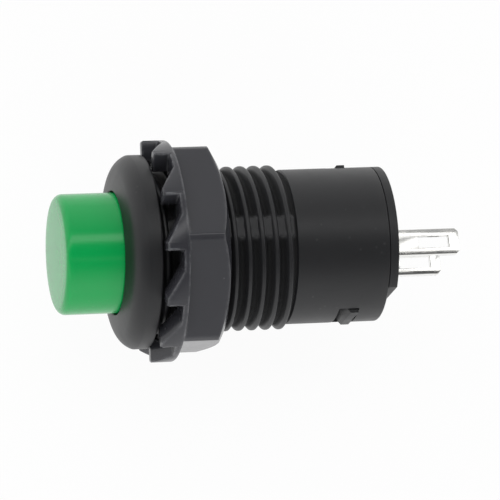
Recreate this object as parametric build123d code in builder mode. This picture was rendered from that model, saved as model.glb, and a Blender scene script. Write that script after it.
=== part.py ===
"""Round panel push button with a threaded barrel, in the frame of an upright panel.

The barrel's axis is Y. The cap points to -Y and the terminals to +Y. The origin is on that axis,
in the plane where the back of the bezel seats on a panel. All sizes are in millimetres.
"""

import math
import os

from build123d import *

# Bezel, the collar that stays in front of the panel
BEZEL_DIAMETER = 14.0
BEZEL_RIM = 1.0  # straight edge of the bezel, next to the panel
BEZEL_BEVEL_LENGTH = 1.0  # rounded bevel, along the axis
BEZEL_BEVEL_WIDTH = 1.1  # rounded bevel, across the axis
BEZEL_BEVEL_RADIUS = 1.6  # its rounding
BEZEL_DOME = 0.3  # rise of the front face from the bevel to the cap's hole
EDGE_BREAK = 0.12  # small break on moulded edges

# Barrel behind the bezel, one moulding with it
BARREL_DIAMETER = 11.2
THREAD_DEPTH = 0.35  # the crests stand this far out of the barrel, and pass a 12 mm panel hole
THREAD_LENGTH = 10.2
THREAD_PITCH = 1.0
THREAD_START = 0.5  # from the bezel's back to the middle of the ridge, and as far at the rear
THREAD_CREST_WIDTH = 0.22
THREAD_ROOT_WIDTH = 0.26
THREAD_ROOT_DROP = 0.04  # the thread's core lies this far under the barrel's surface
THREAD_SINK = 0.12  # how deep the ridge of the thread is rooted in the core
THREAD_RUNOUT = 0.25  # part of a turn over which the thread rises, and falls at its end
THREAD_STEPS = 24  # straight steps in a turn of the thread, to keep it light
STRIP_WIDTH = 2.2  # two strips, above and below, where the thread is shallow
STRIP_DROP = 0.2  # from the crests down to the strips
BARREL_LENGTH = 17.0
BARREL_WALL = 0.7
WINDOW_WIDTH = 3.8  # snap windows near the rear of the barrel
WINDOW_LENGTH = 1.5
WINDOW_TO_REAR = 1.9  # from the window's rear edge to the barrel's rear edge
NOTCH_WIDTH = 3.3  # keying notch in the barrel's rear edge
NOTCH_LENGTH = 1.0

# Cap and its guide hole through the bezel
CAP_DIAMETER = 8.7
CAP_PROJECTION = 4.15  # how far the released cap stands out of the bezel
CAP_EDGE_RADIUS = 0.35
CAP_WALL = 0.9
CAP_FACE_THICKNESS = 1.2
CAP_FLANGE_THICKNESS = 0.8
GUIDE_LENGTH = 3.3
PRESS_TRAVEL = 2.5

# Clearances
SLIDING_GAP = 0.1  # radial, round the cap and its flange
STOP_GAP = 0.05  # axial, where moving faces come to rest
FIT_GAP = 0.03  # between pieces that are pressed or snapped together
NUT_GAP = 0.05  # radial, between the nut's bore and the thread's crests

# Plunger behind the cap
DISC_THICKNESS = 0.8
STEM_DIAMETER = 4.4
STEM_LIP_WIDTH = 0.3
STEM_LIP_LENGTH = 0.4
SPRING_POCKET_DIAMETER = 3.3
SPRING_POCKET_DEPTH = 8.0

# Springs
RETURN_COIL_DIAMETER = 2.6  # to the middle of the wire
RETURN_TURNS = 4
CONTACT_COIL_DIAMETER = 5.5
CONTACT_TURNS = 2.5
WIRE_DIAMETER = 0.3
WIRE_SIDES = 5  # the round wire is drawn five-sided and in straight steps, to keep the coils light
RETURN_STEPS = 12
CONTACT_STEPS = 16

# Contacts and terminals
RING_THICKNESS = 0.4
RING_GAP = 0.1  # radial, between the contact ring and the stem
CONTACT_HEAD_DIAMETER = 1.4
CONTACT_HEAD_HEIGHT = 0.4
CONTACT_SHANK_DIAMETER = 0.8
TERMINAL_SPACING = 5.65
TERMINAL_OFFSET = 0.8  # both blades stand to one side of the axis
TERMINAL_WIDTH = 1.9
TERMINAL_THICKNESS = 0.5
TERMINAL_PROJECTION = 5.1
TERMINAL_BEND_RADIUS = 0.2
TERMINAL_TIP_CHAMFER = 0.25
FOOT_WIDTH = 2.5
FOOT_GAP = 0.1  # between the corners of the terminal's foot and the barrel's bore
EYELET_WIDTH = 0.9
EYELET_LENGTH = 2.3
EYELET_TO_TIP = 0.75

# Base that closes the barrel
PLUG_LENGTH = 3.5
PLUG_GAP = 0.05  # radial, between the plug and the barrel's bore
FLANGE_THICKNESS = 0.6
FLANGE_FLAT = 4.25  # from the axis to the flat on the flange
POST_DIAMETER = 1.8
POST_LENGTH = 1.8
HOOK_WIDTH = 3.4
HOOK_LENGTH = 1.15
HOOK_RAMP = 0.55
HOOK_SINK = 0.06  # how far the hook's top lies under the barrel's surface
ARM_THICKNESS = 0.6
ARM_SLIT = 0.3
ARM_LENGTH = 2.6

# Nut
NUT_FLATS = 14.0
NUT_HEX_LENGTH = 3.2
NUT_CHAMFER_LENGTH = 0.7
NUT_MOUTH_CHAMFER = 0.3  # lead-in for the thread
NUT_TURN = 8.0  # degrees from +Z to a corner of the hexagon, towards +X
CROWN_DIAMETER = 16.0
CROWN_FLANGE = 0.45
FINGER_COUNT = 12
FINGER_HEIGHT = 1.15
FINGER_TIP = 0.6  # flat tip of each spring finger, along the rim
FINGER_RAMP = 2.0
FINGER_DEPTH = 1.5  # radial depth of the fingers
FINGER_LEAD = 7.0  # degrees from a hexagon corner to a finger's steep end
NUT_TO_BEZEL = 0.15  # from the bezel's back to the finger tips

# Radii and places along the axis that follow from the sizes above
bezel_radius = BEZEL_DIAMETER / 2
barrel_radius = BARREL_DIAMETER / 2
bore_radius = barrel_radius - BARREL_WALL
wall_middle_radius = barrel_radius - BARREL_WALL / 2
thread_radius = barrel_radius + THREAD_DEPTH
thread_root_radius = barrel_radius - THREAD_ROOT_DROP
thread_foot = THREAD_PITCH - THREAD_ROOT_WIDTH
cap_radius = CAP_DIAMETER / 2
guide_radius = cap_radius + SLIDING_GAP
flange_radius = bore_radius - SLIDING_GAP
stem_radius = STEM_DIAMETER / 2
wire_radius = WIRE_DIAMETER / 2
crown_radius = CROWN_DIAMETER / 2
corner_radius = NUT_FLATS / 2 / math.cos(math.radians(30))

bevel_y = -BEZEL_RIM - BEZEL_BEVEL_LENGTH
bezel_front_y = bevel_y - BEZEL_DOME
cap_front_y = bezel_front_y - CAP_PROJECTION
guide_end_y = bezel_front_y + GUIDE_LENGTH
cap_flange_y = guide_end_y + STOP_GAP
cap_end_y = cap_flange_y + CAP_FLANGE_THICKNESS
cap_inside_y = cap_front_y + CAP_FACE_THICKNESS
disc_end_y = cap_end_y + DISC_THICKNESS
window_end_y = BARREL_LENGTH - WINDOW_TO_REAR
base_front_y = BARREL_LENGTH - PLUG_LENGTH
base_rear_y = BARREL_LENGTH + FLANGE_THICKNESS
terminal_end_y = base_rear_y + TERMINAL_PROJECTION
fixed_face_y = base_front_y - TERMINAL_THICKNESS - CONTACT_HEAD_HEIGHT
ring_rear_y = fixed_face_y - PRESS_TRAVEL - STOP_GAP
ring_front_y = ring_rear_y - RING_THICKNESS
stem_end_y = ring_rear_y + STEM_LIP_LENGTH
pocket_y = stem_end_y - SPRING_POCKET_DEPTH
finger_root_y = NUT_TO_BEZEL + FINGER_HEIGHT
hex_front_y = finger_root_y + CROWN_FLANGE
nut_end_y = hex_front_y + NUT_HEX_LENGTH

os.makedirs("parts", exist_ok=True)


def section(y):
    """Plane across the axis at y, facing the cap, so a negative extrusion runs to the rear."""
    return Plane.XZ.offset(-y)


def winding(start_y, pitch, turns, steps):
    """Planes through the axis in equal steps along a right-hand helix, with x pointing outwards."""
    places = []
    for step in range(round(turns * steps) + 1):
        turn = math.tau * step / steps
        outwards = (math.sin(turn), 0, math.cos(turn))
        onwards = (math.cos(turn), 0, -math.sin(turn))
        y = start_y + pitch * step / steps
        places.append(Plane(origin=(0, y, 0), x_dir=outwards, z_dir=onwards))
    return places


def save(piece, name):
    """Label a finished piece and write it."""
    piece.label = name
    export_step(piece, f"parts/{name}.step")


# Housing: bezel, threaded part and smooth barrel, moulded in one
with BuildPart() as housing:
    with BuildSketch(Plane.YZ):
        with BuildLine():
            face = Line((bezel_front_y, guide_radius), (bevel_y, bezel_radius - BEZEL_BEVEL_WIDTH))
            bevel = RadiusArc(face @ 1, (-BEZEL_RIM, bezel_radius), BEZEL_BEVEL_RADIUS)
            Polyline(
                bevel @ 1,
                (-EDGE_BREAK, bezel_radius),
                (0, bezel_radius - EDGE_BREAK),
                (0, wall_middle_radius),
                (THREAD_LENGTH, wall_middle_radius),
                (THREAD_LENGTH, barrel_radius),
                (BARREL_LENGTH - EDGE_BREAK, barrel_radius),
                (BARREL_LENGTH, barrel_radius - EDGE_BREAK),
                (BARREL_LENGTH, bore_radius),
                (guide_end_y, bore_radius),
                (guide_end_y, guide_radius),
                face @ 0,
            )
        make_face()
    revolve(axis=Axis.Y)
    # core of the thread, with a flat for each of its steps, and the two strips on it
    strip_height = thread_radius - STRIP_DROP
    with BuildSketch(section(0)):
        RegularPolygon(thread_root_radius, THREAD_STEPS, rotation=90)
        Rectangle(STRIP_WIDTH, 2 * strip_height)
        Circle(wall_middle_radius, mode=Mode.SUBTRACT)
    extrude(amount=-THREAD_LENGTH)
    # thread: a ridge that rises out of the core, winds along it and runs out
    thread_turns = (THREAD_LENGTH - 2 * THREAD_START) / THREAD_PITCH
    thread_places = winding(THREAD_START, THREAD_PITCH, thread_turns, THREAD_STEPS)
    runout_steps = THREAD_RUNOUT * THREAD_STEPS
    for step, place in enumerate(thread_places):
        steps_to_end = min(step, len(thread_places) - 1 - step)
        rise = min(1, steps_to_end / runout_steps)
        crest_radius = thread_root_radius + rise * (thread_radius - thread_root_radius)
        with BuildSketch(place):
            with BuildLine():
                Polyline(
                    (thread_root_radius - THREAD_SINK, -thread_foot / 2),
                    (thread_root_radius - THREAD_SINK, thread_foot / 2),
                    (crest_radius, THREAD_CREST_WIDTH / 2),
                    (crest_radius, -THREAD_CREST_WIDTH / 2),
                    close=True,
                )
            make_face()
    loft(ruled=True)
    # snap windows on both sides, and the keying notch on one
    with BuildSketch(Plane.YZ):
        with Locations((window_end_y, 0)):
            Rectangle(WINDOW_LENGTH, WINDOW_WIDTH, align=(Align.MAX, Align.CENTER))
    extrude(amount=bezel_radius, both=True, mode=Mode.SUBTRACT)
    with BuildSketch(Plane.YZ):
        with Locations((BARREL_LENGTH, 0)):
            Rectangle(NOTCH_LENGTH, NOTCH_WIDTH, align=(Align.MAX, Align.CENTER))
    extrude(amount=-bezel_radius, mode=Mode.SUBTRACT)
save(housing.part, "housing")

# Cap: hollow moulding with a flange that keeps it behind the bezel
with BuildPart() as cap:
    with BuildSketch(Plane.YZ) as cap_outline:
        with BuildLine():
            Polyline(
                (cap_front_y, 0),
                (cap_front_y, cap_radius),
                (cap_flange_y, cap_radius),
                (cap_flange_y, flange_radius),
                (cap_end_y, flange_radius),
                (cap_end_y, cap_radius - CAP_WALL),
                (cap_inside_y, cap_radius - CAP_WALL),
                (cap_inside_y, 0),
                close=True,
            )
        make_face()
        front_corner = cap_outline.vertices().sort_by_distance((cap_front_y, cap_radius))[0]
        fillet(front_corner, radius=CAP_EDGE_RADIUS)
    revolve(axis=Axis.Y)
save(cap.part, "cap")

# Plunger: post inside the cap, guide disc, and a hollow stem with a lip at its end
with BuildPart() as plunger:
    with BuildSketch(Plane.YZ):
        with BuildLine():
            Polyline(
                (cap_inside_y + FIT_GAP, 0),
                (cap_inside_y + FIT_GAP, cap_radius - CAP_WALL - FIT_GAP),
                (cap_end_y, cap_radius - CAP_WALL - FIT_GAP),
                (cap_end_y, flange_radius),
                (disc_end_y, flange_radius),
                (disc_end_y, stem_radius),
                (ring_rear_y, stem_radius),
                (ring_rear_y, stem_radius + STEM_LIP_WIDTH),
                (stem_end_y, stem_radius),
                (stem_end_y, SPRING_POCKET_DIAMETER / 2),
                (pocket_y, SPRING_POCKET_DIAMETER / 2),
                (pocket_y, 0),
                close=True,
            )
        make_face()
    revolve(axis=Axis.Y)
save(plunger.part, "plunger")


def coil(start_y, end_y, turns, steps):
    """Places along the wire of a spring between two seats."""
    length = end_y - start_y - WIRE_DIAMETER - 2 * FIT_GAP
    return winding(start_y + wire_radius + FIT_GAP, length / turns, turns, steps)


# Return spring: from the bottom of the stem's pocket to the base
with BuildPart() as return_spring:
    for place in coil(pocket_y, base_front_y, RETURN_TURNS, RETURN_STEPS):
        with BuildSketch(place):
            with Locations((RETURN_COIL_DIAMETER / 2, 0)):
                RegularPolygon(wire_radius, WIRE_SIDES)
    loft(ruled=True)
save(return_spring.part, "return_spring")

# Contact spring: from the plunger's disc to the contact ring
with BuildPart() as contact_spring:
    for place in coil(disc_end_y, ring_front_y, CONTACT_TURNS, CONTACT_STEPS):
        with BuildSketch(place):
            with Locations((CONTACT_COIL_DIAMETER / 2, 0)):
                RegularPolygon(wire_radius, WIRE_SIDES)
    loft(ruled=True)
save(contact_spring.part, "contact_spring")

# Contact ring: loose on the stem, held against its lip by the contact spring
with BuildPart() as contact_ring:
    with BuildSketch(section(ring_front_y)):
        Circle(flange_radius)
        Circle(stem_radius + RING_GAP, mode=Mode.SUBTRACT)
    extrude(amount=-RING_THICKNESS)
save(contact_ring.part, "contact_ring")

# Terminals: slotted blades, each bent outwards into a foot on the base, and their contact rivets
blade_inside = TERMINAL_SPACING / 2 - TERMINAL_THICKNESS / 2
blade_outside = blade_inside + TERMINAL_THICKNESS
blade_edge_x = TERMINAL_OFFSET + TERMINAL_WIDTH / 2
foot_end = math.sqrt((bore_radius - FOOT_GAP) ** 2 - blade_edge_x**2)
foot_front_y = base_front_y - TERMINAL_THICKNESS
contact_reach = foot_end - CONTACT_HEAD_DIAMETER / 2
for side, place in ((1, "upper"), (-1, "lower")):
    with BuildPart() as terminal:
        with BuildSketch(Plane.YZ.offset(blade_edge_x)) as bent_strip:
            with BuildLine():
                Polyline(
                    (base_front_y, side * foot_end),
                    (foot_front_y, side * foot_end),
                    (foot_front_y, side * blade_inside),
                    (terminal_end_y, side * blade_inside),
                    (terminal_end_y, side * blade_outside),
                    (base_front_y, side * blade_outside),
                    close=True,
                )
            make_face()
            bend = bent_strip.vertices().sort_by_distance((foot_front_y, side * blade_inside))[0]
            fillet(bend, radius=TERMINAL_BEND_RADIUS)
        extrude(amount=-FOOT_WIDTH)
        # the blade is narrower than the foot, and slotted near its tip
        with BuildSketch(Plane.XY.offset(side * blade_inside)):
            with Locations((TERMINAL_OFFSET, terminal_end_y - EYELET_TO_TIP)):
                Rectangle(EYELET_WIDTH, EYELET_LENGTH, align=(Align.CENTER, Align.MAX))
            with Locations((blade_edge_x - TERMINAL_WIDTH, base_front_y)):
                Rectangle(
                    FOOT_WIDTH,
                    terminal_end_y - base_front_y,
                    align=(Align.MAX, Align.MIN),
                )
        extrude(amount=side * TERMINAL_THICKNESS, mode=Mode.SUBTRACT)
        tip_corners = terminal.edges().filter_by(Axis.Z).group_by(Axis.Y)[-1]
        chamfer(tip_corners, length=TERMINAL_TIP_CHAMFER)
        # rivet hole through the foot
        with BuildSketch(section(foot_front_y)):
            with Locations((0, side * contact_reach)):
                Circle(CONTACT_SHANK_DIAMETER / 2 + FIT_GAP)
        extrude(amount=-TERMINAL_THICKNESS, mode=Mode.SUBTRACT)
    save(terminal.part, f"terminal_{place}")

    with BuildPart() as fixed_contact:
        with BuildSketch(section(fixed_face_y)):
            with Locations((0, side * contact_reach)):
                Circle(CONTACT_HEAD_DIAMETER / 2)
        extrude(amount=-CONTACT_HEAD_HEIGHT)
        with BuildSketch(section(foot_front_y)):
            with Locations((0, side * contact_reach)):
                Circle(CONTACT_SHANK_DIAMETER / 2)
        extrude(amount=-TERMINAL_THICKNESS)
    save(fixed_contact.part, f"fixed_contact_{place}")

# Base: plug with a spring post, two snap arms, and a flange across the end of the barrel
plug_radius = bore_radius - PLUG_GAP
hook_top_x = barrel_radius - HOOK_SINK
hook_front_y = window_end_y - HOOK_LENGTH
with BuildPart() as base:
    with BuildSketch(section(base_front_y)):
        Circle(plug_radius)
    extrude(amount=-PLUG_LENGTH)
    with BuildSketch(section(BARREL_LENGTH)):
        Circle(barrel_radius)
        with Locations((FLANGE_FLAT, 0)):
            Rectangle(
                BARREL_DIAMETER,
                BARREL_DIAMETER,
                align=(Align.MIN, Align.CENTER),
                mode=Mode.SUBTRACT,
            )
    extrude(amount=-FLANGE_THICKNESS)
    with BuildSketch(section(base_front_y)):
        Circle(POST_DIAMETER / 2)
    extrude(amount=POST_LENGTH)
    # hooks that catch the rear edge of the windows, with a ramp in front
    with BuildSketch(Plane.XY) as hook_outline:
        with BuildLine():
            Polyline(
                (plug_radius - ARM_THICKNESS / 2, hook_front_y),
                (plug_radius, hook_front_y),
                (hook_top_x, hook_front_y + HOOK_RAMP),
                (hook_top_x, window_end_y - FIT_GAP),
                (plug_radius - ARM_THICKNESS / 2, window_end_y - FIT_GAP),
                close=True,
            )
        make_face()
        mirror(about=Plane.YZ)
    extrude(amount=HOOK_WIDTH / 2, both=True)
    # slits behind the arms, so that they can bend inwards
    with BuildSketch(section(base_front_y)):
        for side in (1, -1):
            with Locations((side * (plug_radius - ARM_THICKNESS - ARM_SLIT / 2), 0)):
                Rectangle(ARM_SLIT, BARREL_DIAMETER)
    extrude(amount=-ARM_LENGTH, mode=Mode.SUBTRACT)
    # slots for the two blades
    with BuildSketch(section(base_front_y)):
        for side in (1, -1):
            with Locations((TERMINAL_OFFSET, side * TERMINAL_SPACING / 2)):
                Rectangle(TERMINAL_WIDTH + 2 * FIT_GAP, TERMINAL_THICKNESS + 2 * FIT_GAP)
    extrude(amount=-(PLUG_LENGTH + FLANGE_THICKNESS), mode=Mode.SUBTRACT)
save(base.part, "base")

# Nut: hexagon with a flange, and a crown of spring fingers that bite on the panel
nut_bore_radius = thread_radius + NUT_GAP
with BuildPart() as crown:
    for index in range(FINGER_COUNT):
        steep_end = NUT_TURN + FINGER_LEAD + index * 360 / FINGER_COUNT
        facing = Plane.XY.rotated((0, steep_end, 0))
        with BuildSketch(facing.offset(crown_radius - 2 * FINGER_DEPTH)):
            with BuildLine():
                Polyline(
                    (0, finger_root_y),
                    (0, NUT_TO_BEZEL),
                    (-FINGER_TIP, NUT_TO_BEZEL),
                    (-FINGER_TIP - FINGER_RAMP, finger_root_y),
                    close=True,
                )
            make_face()
        extrude(amount=2 * FINGER_DEPTH)
    with BuildSketch(section(NUT_TO_BEZEL)):
        Circle(crown_radius)
        Circle(crown_radius - FINGER_DEPTH, mode=Mode.SUBTRACT)
    extrude(amount=-FINGER_HEIGHT, mode=Mode.INTERSECT)

with BuildPart() as nut:
    with BuildSketch(section(hex_front_y)):
        RegularPolygon(NUT_FLATS / 2, 6, major_radius=False, rotation=90 - NUT_TURN)
    extrude(amount=-NUT_HEX_LENGTH)
    # turned outline that takes the corners off at the rear
    with BuildSketch(Plane.YZ):
        with BuildLine():
            Polyline(
                (hex_front_y, 0),
                (hex_front_y, corner_radius),
                (nut_end_y - NUT_CHAMFER_LENGTH, corner_radius),
                (nut_end_y, NUT_FLATS / 2),
                (nut_end_y, 0),
                close=True,
            )
        make_face()
    revolve(axis=Axis.Y, mode=Mode.INTERSECT)
    with BuildSketch(section(finger_root_y)):
        Circle(crown_radius)
    extrude(amount=-CROWN_FLANGE)
    add(crown.part)
    with BuildSketch(section(NUT_TO_BEZEL)):
        Circle(nut_bore_radius)
    extrude(amount=-(nut_end_y - NUT_TO_BEZEL), mode=Mode.SUBTRACT)
    rear_mouth = nut.edges().filter_by(GeomType.CIRCLE).group_by(Axis.Y)[-1].sort_by(SortBy.RADIUS)[0]
    chamfer(rear_mouth, length=NUT_MOUTH_CHAMFER)
save(nut.part, "nut")
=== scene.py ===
"""Looks of a panel push button with a threaded barrel, a spring-fingered nut and solder blades.

The barrel's axis is Y. The cap points to -Y and the terminals to +Y. Lengths are in metres, and
"turn" is an angle round the axis, from +Z towards +X.
"""

import math

import bmesh
import bpy
import numpy as np
from mathutils import Matrix, Vector


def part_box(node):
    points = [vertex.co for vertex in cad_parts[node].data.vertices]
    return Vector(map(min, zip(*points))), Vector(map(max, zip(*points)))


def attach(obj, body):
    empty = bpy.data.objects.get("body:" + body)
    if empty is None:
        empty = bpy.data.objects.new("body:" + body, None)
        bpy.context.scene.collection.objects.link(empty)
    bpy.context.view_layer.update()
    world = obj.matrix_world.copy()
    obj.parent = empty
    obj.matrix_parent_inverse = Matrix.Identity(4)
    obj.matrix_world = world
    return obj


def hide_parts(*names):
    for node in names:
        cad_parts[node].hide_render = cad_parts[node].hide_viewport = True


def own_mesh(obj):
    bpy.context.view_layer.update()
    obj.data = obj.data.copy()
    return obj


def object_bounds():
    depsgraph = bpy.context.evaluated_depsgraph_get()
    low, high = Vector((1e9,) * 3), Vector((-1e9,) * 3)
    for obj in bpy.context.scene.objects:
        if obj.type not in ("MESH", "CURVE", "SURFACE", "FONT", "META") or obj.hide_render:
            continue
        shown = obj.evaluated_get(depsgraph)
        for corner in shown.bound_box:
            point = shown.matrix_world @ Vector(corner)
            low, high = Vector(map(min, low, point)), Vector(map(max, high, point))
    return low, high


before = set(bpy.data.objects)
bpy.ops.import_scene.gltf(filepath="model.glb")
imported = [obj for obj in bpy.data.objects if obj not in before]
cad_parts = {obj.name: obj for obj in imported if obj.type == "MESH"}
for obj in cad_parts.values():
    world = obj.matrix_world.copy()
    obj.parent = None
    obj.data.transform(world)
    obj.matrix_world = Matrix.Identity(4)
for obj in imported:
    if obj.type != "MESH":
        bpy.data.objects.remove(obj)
cad_box = [list(corner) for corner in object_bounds()]
MM = 0.001

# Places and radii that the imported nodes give
housing_low, housing_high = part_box("housing")
cap_low, cap_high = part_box("cap")
nut_low, nut_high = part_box("nut")
return_low, return_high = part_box("return_spring")
contact_low, contact_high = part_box("contact_spring")

# Housing
BEZEL_RADIUS = housing_high.x
BEZEL_FRONT = housing_low.y
BARREL_END = housing_high.y
BEZEL_RIM = 1.0 * MM
BEVEL_PLACE = -2.0 * MM
BEVEL_WIDTH = 1.1 * MM
BEVEL_RADIUS = 1.6 * MM
MOUTH_ROUND = 0.12 * MM
RIM_ROUND = 0.3 * MM
END_ROUND = 0.14 * MM
GUIDE_RADIUS = 4.45 * MM
GUIDE_END = 1.0 * MM
BARREL_RADIUS = 5.6 * MM
BORE_RADIUS = 4.9 * MM
CORE_RADIUS = 5.3 * MM
THREAD_END = 10.2 * MM
CREST_RADIUS = 5.95 * MM
ROOT_RADIUS = 5.45 * MM
PITCH = 1.0 * MM
FIRST_CREST = 0.5 * MM
THREAD_RUNOUT = 0.35 * MM
STRIP_WIDTH = 2.2 * MM
STRIP_HEIGHT = 5.75 * MM
STRIP_EDGE = 0.45 * MM
WINDOW_REAR = BARREL_END - 1.9 * MM
WINDOW_FRONT = WINDOW_REAR - 1.5 * MM
WINDOW_WIDTH = 3.8 * MM
NOTCH_FRONT = BARREL_END - 1.0 * MM
NOTCH_WIDTH = 3.3 * MM
# Columns round the housing, and the least angle between one and the side of an opening
HOUSING_COLUMNS = 192
COLUMN_GAP = 0.012

# Cap
CAP_RADIUS = 4.35 * MM
CAP_FRONT_ROUND = 0.55 * MM
CAP_CENTRE = 0.4 * MM
CAP_EDGE_ROUND = 0.05 * MM
CAP_FLANGE_FRONT = 1.05 * MM
CAP_FLANGE_RADIUS = cap_high.x
CAP_BORE = 3.45 * MM
CAP_INSIDE = cap_low.y + 1.2 * MM

# Springs
SPRING_CLEARANCE = 0.03 * MM
RETURN_COIL_RADIUS = 1.3 * MM
CONTACT_COIL_RADIUS = 2.75 * MM

# Nut
NUT_FRONT = nut_low.y
NUT_END = nut_high.y
FINGER_HEIGHT = 1.15 * MM
FINGER_ROOT = NUT_FRONT + FINGER_HEIGHT
FINGER_STEP = math.radians(30)
HEX_FRONT = FINGER_ROOT + 0.45 * MM
CROWN_RADIUS = 7.998 * MM
CROWN_INSIDE = 6.5 * MM
CROWN_RIM = 0.16 * MM
FLANGE_EDGE = 0.06 * MM
HEX_FLATS = 7.0 * MM
HEX_CORNER_ROUND = 0.35 * MM
HEX_TURNED = 7.97 * MM
CONE_RADIUS = 6.86 * MM
CONE_LENGTH = 0.7 * MM
NUT_BORE = 6.0 * MM
NUT_GROOVE = 6.34 * MM
NUT_MOUTH = 6.3 * MM
NUT_TURN = math.radians(8.0)
FINGER_LEAD = math.radians(7.0)
FINGER_TIP = 0.6 * MM
FINGER_RAMP = 2.0 * MM

# Edges between faces at more than this angle are sharp, and points this near are merged
SHARP = math.radians(32)
WELD = 1e-7


# ---------------------------------------------------------------- outlines and meshes


def rounded(corners, steps=4):
    """Points along an open line of (y, radius, rounding) corners, with arcs at its corners."""
    places = [np.array(corner[:2], float) for corner in corners]
    points = []
    for index, (y, radius, rounding) in enumerate(corners):
        here = places[index]
        if rounding == 0 or index in (0, len(corners) - 1):
            points.append(here)
            continue
        back, ahead = places[index - 1] - here, places[index + 1] - here
        back_length, ahead_length = np.linalg.norm(back), np.linalg.norm(ahead)
        back, ahead = back / back_length, ahead / ahead_length
        half = math.acos(max(-1.0, min(1.0, float(back @ ahead)))) / 2
        reach = min(rounding / math.tan(half), 0.48 * back_length, 0.48 * ahead_length)
        centre_way = (back + ahead) / np.linalg.norm(back + ahead)
        centre = here + centre_way * reach / math.cos(half)
        arm = reach * math.tan(half)
        start, end = here + back * reach - centre, here + ahead * reach - centre
        sweep = math.acos(max(-1.0, min(1.0, float(start @ end) / arm**2)))
        for step in range(steps + 1):
            share = step / steps
            mixed = start * math.sin((1 - share) * sweep) + end * math.sin(share * sweep)
            points.append(centre + mixed / math.sin(sweep))
    return np.array(points)


def bulge(start, end, radius, steps=8):
    """Corners along an outward arc between two (y, radius) places, both ends included."""
    start, end = np.array(start), np.array(end)
    half = np.linalg.norm(end - start) / 2
    inward = np.array([end[1] - start[1], start[0] - end[0]]) / (2 * half)
    centre = (start + end) / 2 + inward * math.sqrt(radius**2 - half**2)
    angles = [math.atan2(*(place - centre)[::-1]) for place in (start, end)]
    sweep = np.linspace(*angles, steps + 1)
    return [(centre[0] + radius * math.cos(a), centre[1] + radius * math.sin(a), 0) for a in sweep]


def ring(turn, y, radius):
    """Points round the axis at the given turns."""
    turn, y, radius = np.broadcast_arrays(turn, y, radius)
    return np.column_stack([radius * np.sin(turn), y, radius * np.cos(turn)])


def plain_mesh(name, points, faces):
    """Mesh straight from points and faces."""
    mesh = bpy.data.meshes.new(name)
    mesh.from_pydata([tuple(point) for point in points], [], faces)
    return mesh


def linked(name, data):
    """New object in the scene."""
    made = bpy.data.objects.new(name, data)
    bpy.context.scene.collection.objects.link(made)
    return made


def result_of(piece):
    """Plain mesh of an object as its modifiers leave it. The modifiers are taken off."""
    bpy.context.view_layer.update()
    evaluated = piece.evaluated_get(bpy.context.evaluated_depsgraph_get())
    mesh = bpy.data.meshes.new_from_object(evaluated)
    piece.modifiers.clear()
    return mesh


def finished(name, points, faces, material):
    """Object from points and faces: doubles merged, normals outward, edges sharp by angle."""
    mesh = plain_mesh(name, points, faces)
    tidy_mesh(mesh)
    mesh.materials.append(material)
    return linked(name, mesh)


def tidy_mesh(mesh, weld=WELD):
    """Merges doubles, turns the faces outward and marks the sharp edges."""
    made = bmesh.new()
    made.from_mesh(mesh)
    bmesh.ops.remove_doubles(made, verts=made.verts, dist=weld)
    bmesh.ops.dissolve_degenerate(made, edges=made.edges, dist=weld)
    bmesh.ops.recalc_face_normals(made, faces=made.faces)
    made.to_mesh(mesh)
    made.free()
    mesh.shade_smooth()
    mesh.set_sharp_from_angle(angle=SHARP)


def quad(columns, row, next_row, column, next_column):
    """Face between two rows and two columns of points."""
    here, ahead = row * columns, next_row * columns
    return (here + column, here + next_column, ahead + next_column, ahead + column)


def grid_faces(rows, columns, around, along, skip=()):
    """Quads between rows of points. around closes the columns and along closes the rows."""
    return [
        quad(columns, row, (row + 1) % rows, column, (column + 1) % columns)
        for row in range(rows if along else rows - 1)
        for column in range(columns if around else columns - 1)
        if (row, column) not in skip
    ]


# ---------------------------------------------------------------- node helpers


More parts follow.
